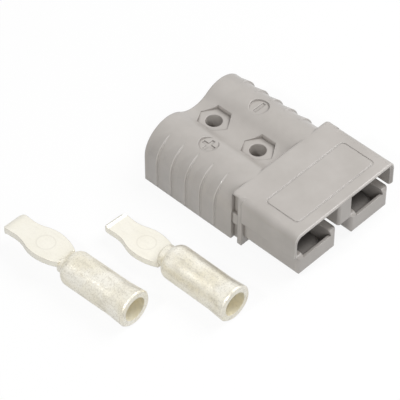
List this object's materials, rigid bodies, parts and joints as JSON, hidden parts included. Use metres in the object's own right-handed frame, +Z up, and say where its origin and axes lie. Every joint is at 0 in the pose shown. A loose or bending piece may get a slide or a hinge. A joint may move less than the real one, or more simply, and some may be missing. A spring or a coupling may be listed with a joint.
{
  "type": "genderless power connector",
  "caption": "Flat moulded power connector housing that mates with a copy of itself turned over, with leaf springs in its trays and loose silver-plated crimp contacts beside it.",
  "frame": {"origin": "middle between the two bolt holes, on the housing's flat underside", "axes": "+Z up along the bolt holes, -Y the mating direction out of the hood, +X across the two poles from positive to negative"},
  "size_m": [0.1224, 0.0952, 0.0254],
  "materials": {
    "housing_plastic": "satin moulded, warm light grey",
    "spring_steel": "rolled strip, satin",
    "contact_silver": "silver plated over copper, lightly blasted"
  },
  "bodies": {
    "root": {"housing": "housing_plastic", "positive_spring": "spring_steel", "negative_spring": "spring_steel", "positive_contact": "contact_silver", "negative_contact": "contact_silver"}
  },
  "joints": []
}
